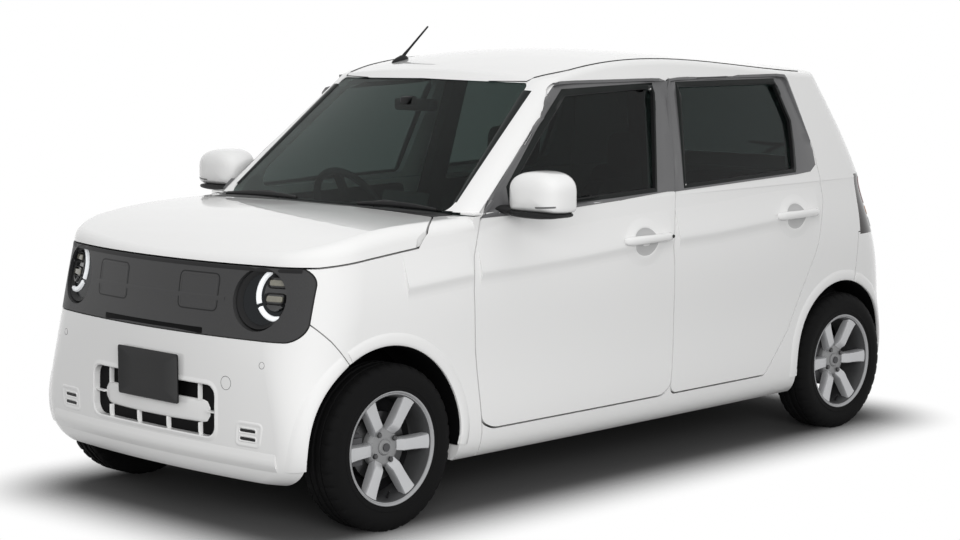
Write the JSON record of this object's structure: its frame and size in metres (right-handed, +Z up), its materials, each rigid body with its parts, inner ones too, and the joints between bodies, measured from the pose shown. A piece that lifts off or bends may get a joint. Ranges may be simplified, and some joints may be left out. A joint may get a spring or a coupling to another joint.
{
  "type": "kei car",
  "caption": "Small boxy hatchback with round headlamps in a dark nose panel, hinged doors, bonnet and tailgate, steered front wheels and free-turning wheels.",
  "frame": {"origin": "on the road under the middle of the car", "axes": "+Y to the rear of the car, +X to its left, +Z up"},
  "size_m": [1.91, 3.3965, 1.639],
  "materials": {
    "white_paint": "gloss",
    "dark_panel": "fine grain",
    "black_plastic": "satin",
    "window_glass": "tinted",
    "lamp": "clear cover",
    "tail_lamp": "dark cover",
    "tyre": "matte",
    "alloy": "satin",
    "steel": "matte",
    "iron": "as cast",
    "cloth": "woven"
  },
  "bodies": {
    "car_body": {"floor_pan": "steel", "body_sides": "white_paint", "roof": "white_paint", "front_fenders": "white_paint", "front_bumper": "white_paint", "nose_panel": "dark_panel", "headlamps": "lamp", "lower_grille": "black_plastic", "rear_bumper": "white_paint", "windshield": "window_glass", "cowl": "black_plastic", "dashboard": "black_plastic", "front_seats": "cloth", "rear_seat": "cloth", "tail_lamps": "tail_lamp", "drive_unit": "steel", "battery_pack": "steel", "front_suspension": "iron", "rear_axle": "iron", "antenna": "black_plastic", "pillars": "steel"},
    "door_front_left": {"door_front_left": "white_paint", "glass_front_left": "window_glass", "mirror_left": "white_paint"},
    "door_front_right": {"door_front_right": "white_paint", "glass_front_right": "window_glass", "mirror_right": "white_paint"},
    "door_rear_left": {"door_rear_left": "white_paint", "glass_rear_left": "window_glass"},
    "door_rear_right": {"door_rear_right": "white_paint", "glass_rear_right": "window_glass"},
    "bonnet": {"bonnet": "white_paint"},
    "tailgate": {"tailgate": "white_paint", "rear_window": "window_glass"},
    "knuckle_left": {"knuckle_left": "iron"},
    "knuckle_right": {"knuckle_right": "iron"},
    "steering_wheel": {"steering_wheel": "black_plastic"},
    "wheel_front_left": {"wheel_front_left": "alloy", "tyre_front_left": "tyre"},
    "wheel_front_right": {"wheel_front_right": "alloy", "tyre_front_right": "tyre"},
    "wheel_rear_left": {"wheel_rear_left": "alloy", "tyre_rear_left": "tyre"},
    "wheel_rear_right": {"wheel_rear_right": "alloy", "tyre_rear_right": "tyre"}
  },
  "joints": [
    {"name": "door_front_left_hinge", "type": "hinge", "parent": "car_body", "child": "door_front_left", "pos_m": [0.7275, -0.8425, 0.65], "axis": [0, 0, -1], "range_deg": [0, 65]},
    {"name": "door_front_right_hinge", "type": "hinge", "parent": "car_body", "child": "door_front_right", "pos_m": [-0.7275, -0.8425, 0.65], "axis": [0, 0, 1], "range_deg": [0, 65]},
    {"name": "door_rear_left_hinge", "type": "hinge", "parent": "car_body", "child": "door_rear_left", "pos_m": [0.7275, 0.2005, 0.65], "axis": [0, 0, -1], "range_deg": [0, 65]},
    {"name": "door_rear_right_hinge", "type": "hinge", "parent": "car_body", "child": "door_rear_right", "pos_m": [-0.7275, 0.2005, 0.65], "axis": [0, 0, 1], "range_deg": [0, 65]},
    {"name": "bonnet_hinge", "type": "hinge", "parent": "car_body", "child": "bonnet", "pos_m": [0, -0.9535, 1.023], "axis": [-1, 0, 0], "range_deg": [0, 48]},
    {"name": "tailgate_hinge", "type": "hinge", "parent": "car_body", "child": "tailgate", "pos_m": [0, 1.2195, 1.495], "axis": [1, 0, 0], "range_deg": [0, 80]},
    {"name": "steer_left", "type": "hinge", "parent": "car_body", "child": "knuckle_left", "pos_m": [0.615, -1.2655, 0.2785], "axis": [0, 0, 1], "range_deg": [-35, 35]},
    {"name": "steer_right", "type": "hinge", "parent": "car_body", "child": "knuckle_right", "pos_m": [-0.615, -1.2655, 0.2785], "axis": [0, 0, 1], "range_deg": [-35, 35]},
    {"name": "steering_wheel_turn", "type": "hinge", "parent": "car_body", "child": "steering_wheel", "pos_m": [-0.345, -0.4655, 0.93], "axis": [0, 0.9063, 0.4226], "range_deg": [-500, 500]},
    {"name": "wheel_front_left_spin", "type": "hinge", "parent": "knuckle_left", "child": "wheel_front_left", "pos_m": [0.65, -1.2655, 0.2785], "axis": [1, 0, 0], "continuous": true},
    {"name": "wheel_front_right_spin", "type": "hinge", "parent": "knuckle_right", "child": "wheel_front_right", "pos_m": [-0.65, -1.2655, 0.2785], "axis": [1, 0, 0], "continuous": true},
    {"name": "wheel_rear_left_spin", "type": "hinge", "parent": "car_body", "child": "wheel_rear_left", "pos_m": [0.65, 1.2545, 0.2785], "axis": [1, 0, 0], "continuous": true},
    {"name": "wheel_rear_right_spin", "type": "hinge", "parent": "car_body", "child": "wheel_rear_right", "pos_m": [-0.65, 1.2545, 0.2785], "axis": [1, 0, 0], "continuous": true}
  ],
  "couplings": [
    {"joint": "steer_right", "follows": "steer_left", "ratio": 1},
    {"joint": "steering_wheel_turn", "follows": "steer_left", "ratio": 14}
  ]
}
